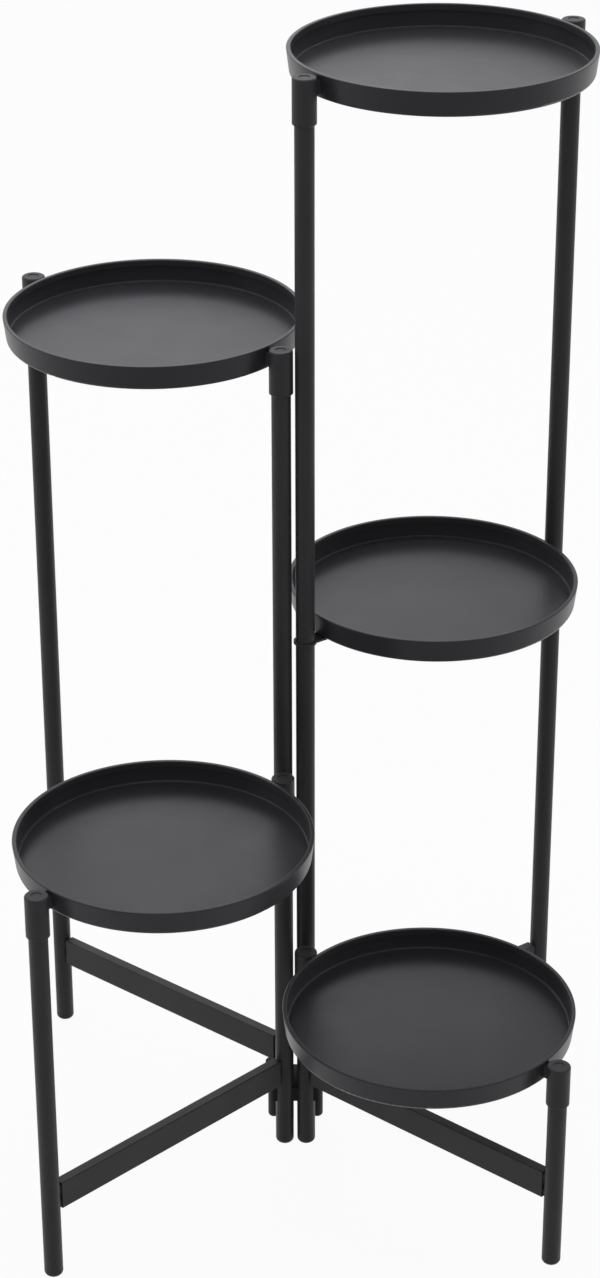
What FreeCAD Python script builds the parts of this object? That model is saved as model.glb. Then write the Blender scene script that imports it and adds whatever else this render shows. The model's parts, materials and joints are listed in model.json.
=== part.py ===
import FreeCAD, Part
import Sketcher
import math
import os
from types import SimpleNamespace

# A folding plant stand. Five round trays sit on four upright panels, and each panel swings
# about its own inner pole, which turns in a jaw of a small hub that stands on the floor.
# Millimetres, +Z up, +Y to the back, floor at Z = 0, origin below the middle of the stand.

SIZES = (
    ("tray_diameter", 240, "over the rim"),
    ("tray_depth", 20, "underside to rim"),
    ("tray_draft", 2.5, "how much the wall leans in, on the radius"),
    ("tray_sheet", 1.2, "pressed sheet"),
    ("tray_corner", 3, "outside corner between wall and floor"),
    ("rim_width", 3.6, "folded rim, across"),
    ("rim_fold", 5, "folded rim, down"),
    ("rim_round", 0.8, "edges of the rim"),
    ("tray_to_pole", 11, "tray edge to pole axis"),
    ("tube_diameter", 15.5, "pole"),
    ("tube_wall", 1, "pole"),
    ("slip_fit", 0.05, "radial clearance of what turns or slides in a bore"),
    ("socket_diameter", 19, "closed sleeve at the top of a pole"),
    ("socket_length", 37, ""),
    ("socket_roof", 3, ""),
    ("socket_round", 1.5, "top edge"),
    ("socket_chamfer", 1.3, "bottom edge"),
    ("socket_drop", 1, "socket top below the tray's rim"),
    ("dimple_diameter", 9, "recess in the socket's roof"),
    ("dimple_depth", 0.5, ""),
    ("web_width", 8, "weld web between socket and tray"),
    ("web_margin", 4.5, "web clear of the tray's rim and underside"),
    ("lug_diameter", 19, "eye of the middle tray's lug"),
    ("lug_thickness", 2, ""),
    ("lug_width", 13, ""),
    ("lug_overlap", 14, "lug under the tray's floor"),
    ("coupler_length", 50, "spigot inside a two-part pole"),
    ("coupler_bore", 9, ""),
    ("coupler_chamfer", 1, ""),
    ("foot_height", 6, "visible end cap"),
    ("foot_round", 4, ""),
    ("foot_spigot", 14, "part of the cap inside the tube"),
    ("bar_height", 25, "crossbar, flat tube on edge"),
    ("bar_thickness", 9, ""),
    ("bar_wall", 1.2, ""),
    ("bar_round", 0.8, "long edges"),
    ("bar_bottom", 63, "above the floor"),
    ("bar_gap", 1.2, "bar end to pole"),
    ("plug_depth", 12, "end plug inside the bar"),
    ("plug_boss", 6.5, "height of each boss that meets the pole"),
    ("plug_top_gap", 2.5, "upper boss below the bar's top"),
    ("tongue_width", 4, "hook of the plug through the pole's slot"),
    ("tongue_height", 4, ""),
    ("tongue_reach", 1.5, "hook past the pole's wall"),
    ("column_pitch", 18.5, "inner poles, left to right"),
    ("row_pitch", 27.6, "inner poles, front to back"),
    ("hub_bottom", 44, "above the floor"),
    ("hub_height", 13, ""),
    ("hub_wall", 2.2, "outside each jaw"),
    ("jaw_reach", 4.5, "jaw past the pole's middle"),
    ("leg_diameter", 10, "short leg behind the hub"),
    ("leg_round", 3.5, "rounded foot of that leg"),
    ("leg_side", 19, "leg axis from the middle, sideways"),
    ("leg_back", 9.5, "leg axis behind the back poles"),
    ("leg_wall", 2, "hub around the leg"),
    ("leg_roof", 3, "hub above the leg"),
    ("left_front_rim", 363, "tray rim above the floor"),
    ("right_front_rim", 195, ""),
    ("left_back_rim", 727, ""),
    ("right_back_rim", 944, ""),
    ("middle_rim", 494, "second tray of the right back panel"),
    ("left_back_joint", 366, "where that panel's poles divide"),
    ("left_front_turn", 224, "degrees, panel direction from +X"),
    ("right_front_turn", -40, "degrees"),
    ("left_back_turn", 141, "degrees"),
    ("right_back_turn", 36, "degrees"),
)


class Measure:
    """A number worked out from the sheet, with the formula that gives it."""

    def __init__(self, value, formula):
        self.value = value
        self.formula = formula

    def with_other(self, other, sign, result):
        text = other.formula if isinstance(other, Measure) else str(other)
        return Measure(result, f"({self.formula} {sign} {text})")

    def __add__(self, other):
        return self.with_other(other, "+", self.value + number(other))

    def __sub__(self, other):
        return self.with_other(other, "-", self.value - number(other))

    def __mul__(self, other):
        return self.with_other(other, "*", self.value * number(other))

    def __truediv__(self, other):
        return self.with_other(other, "/", self.value / number(other))

    def __neg__(self):
        return Measure(-self.value, f"(0 - {self.formula})")


def number(measure):
    return measure.value if isinstance(measure, Measure) else float(measure)


def make_sheet(doc):
    """Write the sizes as cells with aliases, and give them back as measures."""
    sheet = doc.addObject("Spreadsheet::Sheet", "Sizes")
    measures = {}
    for row, (alias, value, note) in enumerate(SIZES, start=1):
        sheet.set(f"A{row}", alias)
        sheet.set(f"B{row}", str(value))
        sheet.setAlias(f"B{row}", alias)
        sheet.set(f"C{row}", note)
        measures[alias] = Measure(float(value), f"Sizes.{alias}")
    doc.recompute()
    return SimpleNamespace(**measures)


doc = FreeCAD.newDocument("plant_stand")
size = make_sheet(doc)

# Sizes that several pieces share.
tube_radius = size.tube_diameter / 2
tube_bore = tube_radius - size.tube_wall
bore_fill = tube_bore - size.slip_fit
jaw_bore = tube_radius + size.slip_fit
tray_radius = size.tray_diameter / 2
tray_foot_radius = tray_radius - size.tray_draft
half_panel = tray_radius + size.tray_to_pole
panel_width = half_panel * 2
bar_length = panel_width - size.tube_diameter - size.bar_gap * 2
hub_top = size.hub_bottom + size.hub_height
upper_boss = size.bar_height - size.plug_top_gap - size.plug_boss
hook_height = upper_boss + size.plug_boss / 2
ORIGIN = Measure(0.0, "0")


def bind(target, prop, measure):
    target.setExpression(prop, measure.formula)


# ---- building blocks -------------------------------------------------------------------

def new_body(label):
    body = doc.addObject("PartDesign::Body", label)
    body.Label = label
    return body


def new_sketch(body, plane_role, suffix="profile"):
    sketch = body.newObject("Sketcher::SketchObject", f"{body.Name}_{suffix}")
    planes = [f for f in body.Origin.OriginFeatures if f.Role == plane_role]
    sketch.AttachmentSupport = [(planes[0], "")]
    sketch.MapMode = "FlatFace"
    return sketch


def hold(sketch, direction, point, measure):
    """Fix one coordinate of a point, with the sheet's formula behind it."""
    if measure is ORIGIN:
        axis = -2 if direction == "DistanceX" else -1
        sketch.addConstraint(Sketcher.Constraint("PointOnObject", *point, axis))
        return
    index = sketch.addConstraint(Sketcher.Constraint(direction, -1, 1, *point, measure.value))
    bind(sketch, f"Constraints[{index}]", measure)


def draw_outline(sketch, corners):
    """A closed outline of straight lines through corners given as pairs of measures."""
    spots = [FreeCAD.Vector(x.value, y.value, 0) for x, y in corners]
    first = sketch.GeometryCount
    for start, end in zip(spots, spots[1:] + spots[:1]):
        sketch.addGeometry(Part.LineSegment(start, end), False)
    for place, (x, y) in enumerate(corners):
        line = first + place
        before = first + (place - 1) % len(corners)
        sketch.addConstraint(Sketcher.Constraint("Coincident", before, 2, line, 1))
        hold(sketch, "DistanceX", (line, 1), x)
        hold(sketch, "DistanceY", (line, 1), y)


def turn_outline(label, corners):
    """A body turned about its own Z axis from (radius, height) corners."""
    body = new_body(label)
    sketch = new_sketch(body, "XZ_Plane")
    draw_outline(sketch, corners)
    turned = body.newObject("PartDesign::Revolution", f"{label}_turned")
    turned.Profile = sketch
    turned.ReferenceAxis = (sketch, ["V_Axis"])
    turned.Angle = 360
    doc.recompute()
    return body


def round_edges(body, radius, chosen):
    """Fillet the edges of the body's last feature that the test picks."""
    last = body.Tip
    names = [f"Edge{i}" for i, edge in enumerate(last.Shape.Edges, start=1) if chosen(edge)]
    fillet = body.newObject("PartDesign::Fillet", f"{body.Name}_rounding")
    fillet.Base = (last, names)
    fillet.Radius = radius.value
    bind(fillet, "Radius", radius)
    doc.recompute()


def circle_at(radius, height):
    """A test for the edge that runs round the Z axis at this radius and height."""
    def chosen(edge):
        if not isinstance(edge.Curve, Part.Circle):
            return False
        same_radius = abs(edge.Curve.Radius - radius.value) < 0.01
        return same_radius and abs(edge.Curve.Center.z - height.value) < 0.01
    return chosen


def put(solid, x=ORIGIN, y=ORIGIN, z=ORIGIN):
    for axis, measure in (("x", x), ("y", y), ("z", z)):
        bind(solid, f"Placement.Base.{axis}", measure)


def cylinder(radius, height, **where):
    solid = doc.addObject("Part::Cylinder", "round")
    bind(solid, "Radius", radius)
    bind(solid, "Height", height)
    put(solid, **where)
    return solid


def block(length, width, height, x=ORIGIN, z=ORIGIN, y=None):
    """A box, centred across its width unless y is given."""
    solid = doc.addObject("Part::Box", "block")
    bind(solid, "Length", length)
    bind(solid, "Width", width)
    bind(solid, "Height", height)
    put(solid, x=x, y=-(width / 2) if y is None else y, z=z)
    return solid


def join(label, solids):
    fused = doc.addObject("Part::MultiFuse", label)
    fused.Label = label
    fused.Shapes = solids
    fused.Refine = True
    return fused


def cut(label, base, tool):
    result = doc.addObject("Part::Cut", label)
    result.Label = label
    result.Base = base
    result.Tool = tool
    return result


# ---- pieces, each in its own frame; +X faces the middle of the panel ----------------------

def make_tray(label):
    """A pressed round pan: flat floor, leaning wall, rim folded inwards."""
    lean_at_fold = size.tray_draft * (size.rim_fold / size.tray_depth)
    fold_bottom = size.tray_depth - size.rim_fold
    corners = (
        (ORIGIN, ORIGIN),
        (tray_foot_radius, ORIGIN),
        (tray_radius, size.tray_depth),
        (tray_radius - size.rim_width, size.tray_depth),
        (tray_radius - size.rim_width - lean_at_fold, fold_bottom),
        (tray_radius - size.tray_sheet - lean_at_fold, fold_bottom),
        (tray_foot_radius - size.tray_sheet, size.tray_sheet),
        (ORIGIN, size.tray_sheet),
    )
    body = turn_outline(label, corners)
    round_edges(body, size.tray_corner, circle_at(tray_foot_radius, ORIGIN))
    inside_corner = size.tray_corner - size.tray_sheet
    round_edges(body, inside_corner,
                circle_at(tray_foot_radius - size.tray_sheet, size.tray_sheet))
    inner_rim = circle_at(tray_radius - size.rim_width, size.tray_depth)
    outer_rim = circle_at(tray_radius, size.tray_depth)
    round_edges(body, size.rim_round, lambda edge: inner_rim(edge) or outer_rim(edge))
    return body


def make_socket(label):
    """A sleeve closed at the top, with the weld web that joins it to the tray's wall."""
    radius = size.socket_diameter / 2
    roof_under = size.socket_length - size.socket_roof
    dimple = size.dimple_diameter / 2
    dimple_floor = size.socket_length - size.dimple_depth
    corners = (
        (jaw_bore, ORIGIN),
        (radius - size.socket_chamfer, ORIGIN),
        (radius, size.socket_chamfer),
        (radius, size.socket_length),
        (dimple, size.socket_length),
        (dimple, dimple_floor),
        (ORIGIN, dimple_floor),
        (ORIGIN, roof_under),
        (jaw_bore, roof_under),
    )
    sleeve = turn_outline(f"{label}_sleeve", corners)
    round_edges(sleeve, size.socket_round, circle_at(radius, size.socket_length))
    tray_under = size.socket_length + size.socket_drop - size.tray_depth
    web_start = (radius + jaw_bore) / 2
    web = block(
        half_panel - web_start,
        size.web_width,
        size.tray_depth - size.web_margin * 2,
        x=web_start,
        z=tray_under + size.web_margin,
    )
    tray_wall = doc.addObject("Part::Cone", "tray_wall")
    bind(tray_wall, "Radius1", tray_foot_radius)
    bind(tray_wall, "Radius2", tray_radius)
    bind(tray_wall, "Height", size.tray_depth)
    put(tray_wall, x=half_panel, z=tray_under)
    trimmed_web = cut(f"{label}_web", web, tray_wall)
    return join(label, [sleeve, trimmed_web])


def make_tube(label, length, slot_height=None):
    """A length of pole; a lower one has the slot that takes the crossbar's hook."""
    wall = cut(f"{label}_wall", cylinder(tube_radius, length), cylinder(tube_bore, length))
    if slot_height is None:
        wall.Label = label
        return wall
    slot = block(
        size.tube_diameter,
        size.tongue_width + size.slip_fit * 2,
        size.tongue_height + size.slip_fit * 2,
        z=slot_height - size.tongue_height / 2 - size.slip_fit,
    )
    return cut(label, wall, slot)


def make_foot(label):
    """An end cap with a rounded bottom and a spigot up inside the tube."""
    spigot_top = size.foot_height + size.foot_spigot
    corners = (
        (ORIGIN, ORIGIN),
        (tube_radius, ORIGIN),
        (tube_radius, size.foot_height),
        (bore_fill, size.foot_height),
        (bore_fill, spigot_top),
        (ORIGIN, spigot_top),
    )
    body = turn_outline(label, corners)
    round_edges(body, size.foot_round, circle_at(tube_radius, ORIGIN))
    return body


def make_coupler(label):
    """A hollow spigot that lines up the two parts of a pole."""
    edge = bore_fill - size.coupler_chamfer
    bore = size.coupler_bore / 2
    corners = (
        (bore, ORIGIN),
        (edge, ORIGIN),
        (bore_fill, size.coupler_chamfer),
        (bore_fill, size.coupler_length - size.coupler_chamfer),
        (edge, size.coupler_length),
        (bore, size.coupler_length),
    )
    return turn_outline(label, corners)


def make_lug(label):
    """A flat eye clamped between two parts of a pole, with its tail under the tray."""
    eye = cylinder(size.lug_diameter / 2, size.lug_thickness)
    tail_length = size.tray_to_pole + size.tray_draft + size.lug_overlap
    tail = block(tail_length, size.lug_width, size.lug_thickness)
    plate = join(f"{label}_plate", [eye, tail])
    return cut(label, plate, cylinder(tube_bore, size.lug_thickness))


def make_crossbar(label):
    """A flat rectangular tube on edge, with its long edges eased."""
    body = new_body(label)
    sketch = new_sketch(body, "YZ_Plane")
    side = size.bar_thickness / 2
    inner_side = side - size.bar_wall
    inner_top = size.bar_height - size.bar_wall
    draw_outline(sketch, ((-side, ORIGIN), (side, ORIGIN),
                          (side, size.bar_height), (-side, size.bar_height)))
    draw_outline(sketch, ((-inner_side, size.bar_wall), (inner_side, size.bar_wall),
                          (inner_side, inner_top), (-inner_side, inner_top)))
    pad = body.newObject("PartDesign::Pad", f"{label}_pad")
    pad.Profile = sketch
    pad.Length = bar_length.value
    bind(pad, "Length", bar_length)
    doc.recompute()

    def long_outer_edge(edge):
        box = edge.BoundBox
        outside = abs(abs(box.YMin) - side.value) < 0.01
        return box.XLength > bar_length.value / 2 and outside

    round_edges(body, size.bar_round, long_outer_edge)
    return body


def make_bar_plug(label):
    """The plug in a bar's end: two bosses meet the pole and a hook enters its slot."""
    face = tube_radius + size.bar_gap
    inside_wall = size.bar_wall + size.slip_fit
    width = size.bar_thickness - inside_wall * 2
    insert = block(size.plug_depth, width, size.bar_height - inside_wall * 2,
                   x=face, z=inside_wall)
    bosses = [block(face, width, size.plug_boss, z=height)
              for height in (inside_wall, upper_boss)]
    plug = join(f"{label}_solid", [insert] + bosses)
    shaped = cut(f"{label}_saddle", plug, cylinder(tube_radius, size.bar_height))
    hook_start = tube_bore - size.tongue_reach
    hook = block(face - hook_start, size.tongue_width, size.tongue_height,
                 x=hook_start, z=hook_height - size.tongue_height / 2)
    return join(label, [shaped, hook])


def make_rear_leg(label):
    radius = size.leg_diameter / 2
    top = hub_top - size.leg_roof
    corners = ((ORIGIN, ORIGIN), (radius, ORIGIN), (radius, top), (ORIGIN, top))
    body = turn_outline(label, corners)
    round_edges(body, size.leg_round, circle_at(radius, ORIGIN))
    return body


def make_hub(label):
    """The block whose four jaws hold the inner poles, with an ear round each rear leg."""
    half_length = size.column_pitch / 2 + jaw_bore + size.hub_wall
    half_depth = size.row_pitch / 2 + size.jaw_reach
    core = block(half_length * 2, half_depth * 2, size.hub_height,
                 x=-half_length, z=size.hub_bottom)
    leg_depth = size.row_pitch / 2 + size.leg_back
    ear_radius = size.leg_diameter / 2 + size.leg_wall
    solids = [core]
    holes = []
    for side in (-1, 1):
        leg_x = size.leg_side * side
        column_x = size.column_pitch / 2 * side
        solids.append(cylinder(ear_radius, size.hub_height,
                               x=leg_x, y=leg_depth, z=size.hub_bottom))
        holes.append(cylinder(size.leg_diameter / 2, hub_top - size.leg_roof,
                              x=leg_x, y=leg_depth))
        for row_y in (size.row_pitch / 2, -(size.row_pitch / 2)):
            holes.append(cylinder(jaw_bore, hub_top * 2, x=column_x, y=row_y))
    outside = join(f"{label}_outside", solids)
    return cut(label, outside, join(f"{label}_holes", holes))


# ---- where the pieces go -----------------------------------------------------------------

PANELS = {
    # name: side of the hub, row of the hub, direction, rim of its highest tray
    "left_front": (-1, -1, size.left_front_turn, size.left_front_rim),
    "right_front": (1, -1, size.right_front_turn, size.right_front_rim),
    "left_back": (-1, 1, size.left_back_turn, size.left_back_rim),
    "right_back": (1, 1, size.right_back_turn, size.right_back_rim),
}
pieces = []


def place(piece, x, y, height, angle=0.0):
    upright = FreeCAD.Vector(0, 0, 1)
    spot = FreeCAD.Vector(number(x), number(y), number(height))
    piece.Placement = FreeCAD.Placement(spot, FreeCAD.Rotation(upright, angle))
    pieces.append(piece)


def place_on_panel(piece, panel, along, height, facing=0.0):
    """Put a piece at a distance from the inner pole, in the panel's direction."""
    side, row, turn, _ = PANELS[panel]
    angle = math.radians(turn.value)
    x = side * size.column_pitch.value / 2 + number(along) * math.cos(angle)
    y = row * size.row_pitch.value / 2 + number(along) * math.sin(angle)
    place(piece, x, y, height, turn.value + facing)


def build_panel(panel, lower_top=None, joint_gap=ORIGIN):
    """One panel: tray, sockets, poles in one or two parts, feet and crossbar."""
    rim = PANELS[panel][3]
    tray_under = rim - size.tray_depth
    socket_under = rim - size.socket_drop - size.socket_length
    tube_top = rim - size.socket_drop - size.socket_roof
    slot_height = size.bar_bottom + hook_height - size.foot_height
    place_on_panel(make_tray(f"{panel}_tray"), panel, half_panel, tray_under)
    for end, along, facing in (("inner", 0, 0), ("outer", panel_width, 180)):
        name = f"{panel}_{end}"

        def put_on_pole(piece, height):
            place_on_panel(piece, panel, along, height, facing)

        put_on_pole(make_socket(f"{name}_socket"), socket_under)
        put_on_pole(make_foot(f"{name}_foot"), 0)
        put_on_pole(make_bar_plug(f"{name}_bar_plug"), size.bar_bottom)
        if lower_top is None:
            tube = make_tube(f"{name}_tube", tube_top - size.foot_height, slot_height)
            put_on_pole(tube, size.foot_height)
            continue
        upper_start = lower_top + joint_gap
        lower = make_tube(f"{name}_lower_tube", lower_top - size.foot_height, slot_height)
        upper = make_tube(f"{name}_upper_tube", tube_top - upper_start)
        put_on_pole(lower, size.foot_height)
        put_on_pole(upper, upper_start)
        middle = lower_top + joint_gap / 2
        coupler = make_coupler(f"{name}_coupler")
        put_on_pole(coupler, middle - size.coupler_length / 2)
    bar_start = tube_radius + size.bar_gap
    place_on_panel(make_crossbar(f"{panel}_crossbar"), panel, bar_start, size.bar_bottom)


def build_middle_tray(panel):
    """The second tray of a panel, carried on lugs clamped in the joints of its poles."""
    tray_under = size.middle_rim - size.tray_depth
    place_on_panel(make_tray("middle_tray"), panel, half_panel, tray_under)
    for end, along, facing in (("inner", 0, 0), ("outer", panel_width, 180)):
        lug = make_lug(f"middle_tray_{end}_lug")
        place_on_panel(lug, panel, along, tray_under - size.lug_thickness, facing)


def build_hub():
    place(make_hub("hub_block"), 0, 0, 0)
    leg_depth = size.row_pitch / 2 + size.leg_back
    for side, name in ((-1, "left_rear_leg"), (1, "right_rear_leg")):
        place(make_rear_leg(name), size.leg_side * side, leg_depth, 0)


def centre_stand():
    """Move every piece so that the origin is below the middle of the whole stand."""
    whole = FreeCAD.BoundBox()
    for piece in pieces:
        whole.add(piece.Shape.optimalBoundingBox(False, False))
    shift = FreeCAD.Vector(-whole.Center.x, -whole.Center.y, 0)
    for piece in pieces:
        piece.Placement.Base = piece.Placement.Base + shift
    doc.recompute()
    print(f"hub centre at x {shift.x:.4f}, y {shift.y:.4f}")
    print(f"overall {whole.XLength:.2f} x {whole.YLength:.2f} x {whole.ZLength:.2f}")


def check_document():
    failed = [obj.Name for obj in doc.Objects
              if "Invalid" in obj.State or "Error" in obj.State]
    if failed:
        raise RuntimeError(f"these did not compute: {failed}")
    for piece in pieces:
        if piece.Shape.isNull() or not piece.Shape.isValid():
            raise RuntimeError(f"{piece.Label} has no valid shape")


build_hub()
build_panel("left_front")
build_panel("right_front")
build_panel("left_back", lower_top=size.left_back_joint)
middle_tray_under = size.middle_rim - size.tray_depth
build_panel("right_back", lower_top=middle_tray_under - size.lug_thickness,
            joint_gap=size.lug_thickness)
build_middle_tray("right_back")
doc.recompute()
centre_stand()
check_document()

os.makedirs("parts", exist_ok=True)
for piece in pieces:
    piece.Shape.exportStep(f"parts/{piece.Label}.step")
print(len(pieces), "pieces written")
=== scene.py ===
import json
import math

import bpy
from mathutils import Matrix, Vector

# A black powder-coated plant stand on a pale floor, in soft studio light.
# Metres, +Z up, +Y to the back, floor at Z = 0.

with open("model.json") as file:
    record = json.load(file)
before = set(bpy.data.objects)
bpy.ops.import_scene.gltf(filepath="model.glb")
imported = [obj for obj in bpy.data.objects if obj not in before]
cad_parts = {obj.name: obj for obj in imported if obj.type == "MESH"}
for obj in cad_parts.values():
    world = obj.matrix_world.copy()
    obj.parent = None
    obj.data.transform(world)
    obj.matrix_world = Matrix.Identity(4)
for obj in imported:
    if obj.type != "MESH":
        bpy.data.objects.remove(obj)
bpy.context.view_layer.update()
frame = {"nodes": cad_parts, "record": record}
scene = bpy.context.scene

# ---- camera: the photograph's viewing angle ----------------------------------------------
PHOTO_LONG_SIDE_PX = 1278
FOCAL_PX = 3132.1
SENSOR_MM = 36.0
CAMERA_SPOT = Vector((0.0029, -2.2404, 1.6268))
CAMERA_PITCH = math.radians(27.02)      # how far it looks down
CAMERA_ROLL = math.radians(-0.15)


def add_camera():
    data = bpy.data.cameras.new("view")
    data.sensor_width = SENSOR_MM
    data.lens = FOCAL_PX * SENSOR_MM / PHOTO_LONG_SIDE_PX
    camera = bpy.data.objects.new("view", data)
    camera.location = CAMERA_SPOT
    level = Matrix.Rotation(math.radians(90) - CAMERA_PITCH, 3, "X")
    camera.rotation_euler = (level @ Matrix.Rotation(CAMERA_ROLL, 3, "Z")).to_euler()
    scene.collection.objects.link(camera)
    scene.camera = camera


# ---- node trees --------------------------------------------------------------------------
class NodeTree:
    """An emptied node tree of a material or world, with short calls to fill it."""

    def __init__(self, owner):
        owner.use_nodes = True
        self.tree = owner.node_tree
        self.tree.nodes.clear()

    def node(self, kind, **inputs):
        """A new node. The inputs' names have _ for a space."""
        made = self.tree.nodes.new(kind)
        for key, value in inputs.items():
            made.inputs[key.replace("_", " ")].default_value = value
        return made

    def link(self, source, out, target, into):
        self.tree.links.new(source.outputs[out], target.inputs[into])

    def arithmetic(self, operation, first, second):
        """A Math node fed by a (node, output) pair and by either another pair or a number."""
        made = self.node("ShaderNodeMath")
        made.operation = operation
        self.link(*first, made, 0)
        if isinstance(second, tuple):
            self.link(*second, made, 1)
        else:
            made.inputs[1].default_value = second
        return made, 0

    def smooth_range(self, **limits):
        made = self.node("ShaderNodeMapRange", **limits)
        made.interpolation_type = "SMOOTHSTEP"
        return made

    def direct_rays(self):
        """1 for a ray from the camera, off a glossy surface or through glass, else 0."""
        path = self.node("ShaderNodeLightPath")
        found = path, "Is Camera Ray"
        for kind in ("Is Glossy Ray", "Is Transmission Ray"):
            found = self.arithmetic("MAXIMUM", found, (path, kind))
        return found


# ---- materials ---------------------------------------------------------------------------
# Noise is (cells per metre, detail), and relief heights are in metres.
NOISE_MIDDLE = 0.25, 0.75       # the part of a noise's range that carries the change
COAT_COLOUR_CLOUD = 11, 3
COAT_SHEEN_CLOUD = 28, 4
COAT_GRAIN, COAT_GRAIN_HEIGHT = (2400, 1), 0.000006
COAT_PEEL = 640, 2
PLASTIC_CLOUD = 40, 2
PLASTIC_GRAIN, PLASTIC_GRAIN_HEIGHT = (2600, 2), 0.00002
PLASTIC_IOR = 1.45
STEEL_LINES, STEEL_LINE_STRETCH = (260, 3), (1, 1, 0.04)


class Shader(NodeTree):
    """A material with one Principled shader.
    face_on dims the reflection that is seen straight on, and leaves the grazing one."""

    def __init__(self, name, ior=1.5, face_on=1.0):
        self.material = bpy.data.materials.new(name)
        super().__init__(self.material)
        self.surface = self.node("ShaderNodeBsdfPrincipled", IOR=ior,
                                 Specular_Tint=(face_on, face_on, face_on, 1))
        output = self.node("ShaderNodeOutputMaterial")
        self.link(self.surface, "BSDF", output, "Surface")
        self.place = self.node("ShaderNodeTexCoord")

    def noise(self, grain, stretch=(1, 1, 1)):
        """Noise in the object's own space, so it stays with the piece."""
        scale, detail = grain
        mapping = self.node("ShaderNodeMapping", Scale=stretch)
        self.link(self.place, "Object", mapping, "Vector")
        made = self.node("ShaderNodeTexNoise", Scale=scale, Detail=detail)
        self.link(mapping, "Vector", made, "Vector")
        return made

    def tint(self, cloud, dark, light):
        """Base colour from dark to light over the middle of a noise."""
        ramp = self.node("ShaderNodeValToRGB")
        ramp.color_ramp.interpolation = "EASE"
        for end, spot, colour in zip(ramp.color_ramp.elements, NOISE_MIDDLE, (dark, light)):
            end.position, end.color = spot, (*colour, 1)
        self.link(cloud, "Fac", ramp, "Fac")
        self.link(ramp, "Color", self.surface, "Base Color")

    def roughness(self, cloud, low, high):
        """Roughness from low to high over the middle of a noise."""
        start, end = NOISE_MIDDLE
        spread = self.smooth_range(From_Min=start, From_Max=end, To_Min=low, To_Max=high)
        self.link(cloud, "Fac", spread, "Value")
        self.link(spread, "Result", self.surface, "Roughness")

    def relief(self, *layers):
        """Bump from (noise, height) layers, each on top of the one before."""
        under = None
        for cloud, height in layers:
            bump = self.node("ShaderNodeBump", Strength=1.0, Distance=height)
            self.link(cloud, "Fac", bump, "Height")
            if under is not None:
                self.link(under, "Normal", bump, "Normal")
            under = bump
        self.link(under, "Normal", self.surface, "Normal")


def powder_coat(name, dark, light, sheen, peel_height, ior, face_on):
    """Satin powder coat: orange peel over a fine grain, with a faint cloud in its sheen."""
    shader = Shader(name, ior, face_on)
    shader.tint(shader.noise(COAT_COLOUR_CLOUD), dark, light)
    shader.roughness(shader.noise(COAT_SHEEN_CLOUD), *sheen)
    shader.relief((shader.noise(COAT_GRAIN), COAT_GRAIN_HEIGHT),
                  (shader.noise(COAT_PEEL), peel_height))
    return shader.material


def moulded_plastic(name, dark, light, sheen, face_on):
    """Injection-moulded black plastic with a fine eroded grain."""
    shader = Shader(name, PLASTIC_IOR, face_on)
    cloud = shader.noise(PLASTIC_CLOUD)
    shader.tint(cloud, dark, light)
    shader.roughness(cloud, *sheen)
    shader.relief((shader.noise(PLASTIC_GRAIN), PLASTIC_GRAIN_HEIGHT))
    return shader.material


def drawn_steel(name, dark, light, sheen):
    """Plain drawn tube, with faint lines along it."""
    shader = Shader(name)
    lines = shader.noise(STEEL_LINES, STEEL_LINE_STRETCH)
    shader.tint(lines, dark, light)
    shader.roughness(lines, *sheen)
    shader.surface.inputs["Metallic"].default_value = 1.0
    return shader.material


# The record's material slots. dark and light are linear colours, and sheen is roughness.
FINISHES = {
    "tray_coat": (powder_coat, dict(
        dark=(0.0275, 0.0266, 0.0310), light=(0.0315, 0.0305, 0.0355),
        sheen=(0.32, 0.36), peel_height=0.00002, ior=1.52, face_on=0.25)),
    "frame_coat": (powder_coat, dict(
        dark=(0.0330, 0.0326, 0.0355), light=(0.0380, 0.0376, 0.0405),
        sheen=(0.42, 0.50), peel_height=0.00005, ior=1.42, face_on=0.30)),
    "end_cap": (moulded_plastic, dict(
        dark=(0.0300, 0.0297, 0.0315), light=(0.0360, 0.0356, 0.0375),
        sheen=(0.48, 0.58), face_on=0.3)),
    "bar_plug": (moulded_plastic, dict(
        dark=(0.0270, 0.0267, 0.0285), light=(0.0330, 0.0327, 0.0345),
        sheen=(0.48, 0.58), face_on=0.3)),
    # the hub's near-black colour and dimmed reflection are painted shade for the narrow slot
    # between the poles where it sits
    "hub_plastic": (moulded_plastic, dict(
        dark=(0.0080, 0.0079, 0.0086), light=(0.0110, 0.0109, 0.0116),
        sheen=(0.50, 0.60), face_on=0.1)),
    "spigot_steel": (drawn_steel, dict(
        dark=(0.36, 0.36, 0.37), light=(0.50, 0.50, 0.51), sheen=(0.28, 0.40))),
}


def dress_nodes():
    """Give each CAD node the material of the slot that the record names for it."""
    materials = {slot: make(slot, **look) for slot, (make, look) in FINISHES.items()}
    for entry in frame["record"]["subparts"]:
        mesh = frame["nodes"][entry["node"]].data
        mesh.materials.clear()
        mesh.materials.append(materials[entry["material_slot"]])


# ---- surroundings ------------------------------------------------------------------------
WHITE = (1, 1, 1)
ROOM_FRONT, ROOM_BACK = 0.2, 0.8        # the world's strength on the object
ROOM_TURN = -0.6, 0.5                   # where it changes, in Y of the direction
FLOOR_HALF = 6.0
FLOOR_PAINT = (0.8, 0.8, 0.8, 1)
FLOOR_WHITE = 0.94                      # how much of the floor that the camera sees is plain white
LAMP_AIM = Vector((0, 0, 0.5))
LAMPS = (                               # name, spot, width, height, watts, colour
    ("top_softbox", (0.0, 0.3, 3.4), 2.4, 2.4, 30, WHITE),
    ("back_softbox", (-0.9, 3.8, 3.3), 2.6, 1.6, 20, (0.93, 0.90, 1.0)),
    ("front_softbox", (0.0, -3.6, 3.2), 2.4, 1.2, 18, WHITE),
    ("left_strip", (-3.8, -0.4, 1.4), 0.9, 2.6, 13, WHITE),
    ("right_strip", (3.8, -0.1, 1.4), 0.9, 2.6, 7, WHITE),
)


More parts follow.
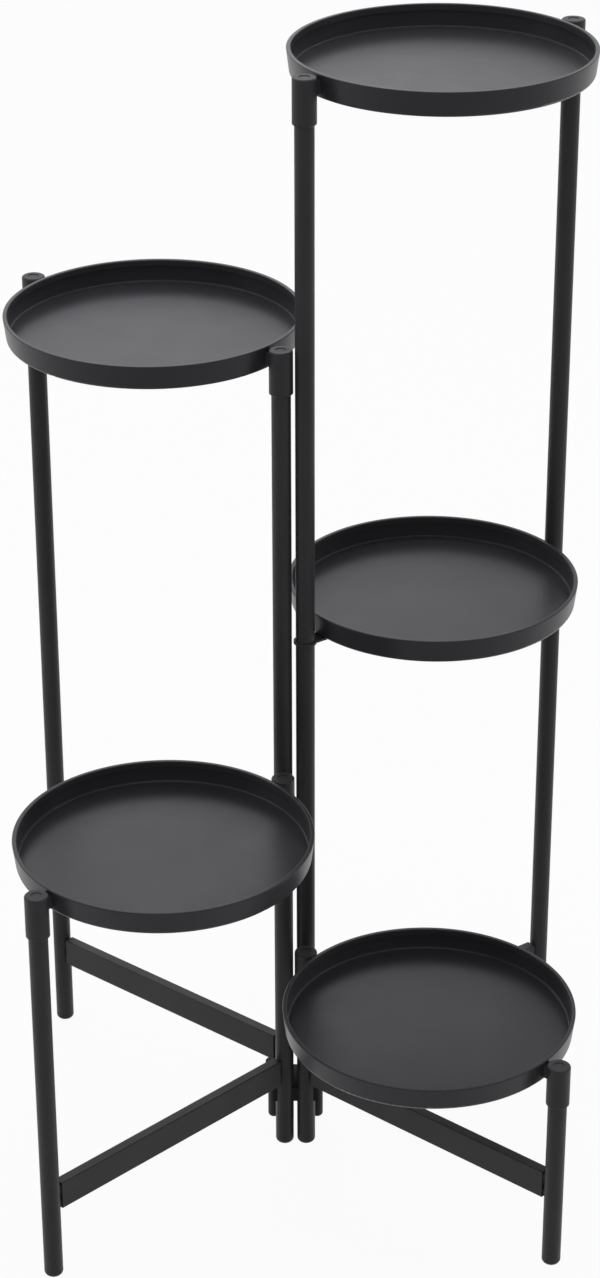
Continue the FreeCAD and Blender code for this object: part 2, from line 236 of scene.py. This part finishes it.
def add_world():
    """White to the camera, and to the object a room that is pale behind and dim in front."""
    world = bpy.data.worlds.new("studio")
    scene.world = world
    sky = NodeTree(world)
    output = sky.node("ShaderNodeOutputWorld")
    background = sky.node("ShaderNodeBackground", Color=(*WHITE, 1))
    sky.link(background, "Background", output, "Surface")
    place = sky.node("ShaderNodeTexCoord")
    split = sky.node("ShaderNodeSeparateXYZ")
    sky.link(place, "Generated", split, "Vector")
    start, end = ROOM_TURN
    room = sky.smooth_range(From_Min=start, From_Max=end, To_Min=ROOM_FRONT, To_Max=ROOM_BACK)
    sky.link(split, "Y", room, "Value")
    strength = sky.arithmetic("MAXIMUM", sky.direct_rays(), (room, "Result"))
    sky.link(*strength, background, "Strength")


def add_floor():
    """A pale floor: nearly white to the camera, with the object's soft shadow on it."""
    mesh = bpy.data.meshes.new("floor")
    corners = [(x * FLOOR_HALF, y * FLOOR_HALF, 0)
               for x, y in ((-1, -1), (1, -1), (1, 1), (-1, 1))]
    mesh.from_pydata(corners, [], [(0, 1, 2, 3)])
    floor = bpy.data.objects.new("floor", mesh)
    scene.collection.objects.link(floor)
    material = bpy.data.materials.new("floor")
    look = NodeTree(material)
    output = look.node("ShaderNodeOutputMaterial")
    paint = look.node("ShaderNodeBsdfDiffuse", Color=FLOOR_PAINT)
    white = look.node("ShaderNodeEmission")
    mix = look.node("ShaderNodeMixShader")
    look.link(*look.arithmetic("MULTIPLY", look.direct_rays(), FLOOR_WHITE), mix, 0)
    look.link(paint, "BSDF", mix, 1)
    look.link(white, "Emission", mix, 2)
    look.link(mix, "Shader", output, "Surface")
    mesh.materials.append(material)


def add_lamps():
    for name, spot, width, height, watts, colour in LAMPS:
        data = bpy.data.lights.new(name, "AREA")
        data.color = colour
        data.shape = "RECTANGLE"
        data.size = width
        data.size_y = height
        data.energy = watts
        lamp = bpy.data.objects.new(name, data)
        lamp.location = spot
        lamp.rotation_euler = (LAMP_AIM - Vector(spot)).to_track_quat("-Z", "Y").to_euler()
        scene.collection.objects.link(lamp)


dress_nodes()
add_camera()
add_world()
add_floor()
add_lamps()
scene.view_settings.view_transform = "Standard"
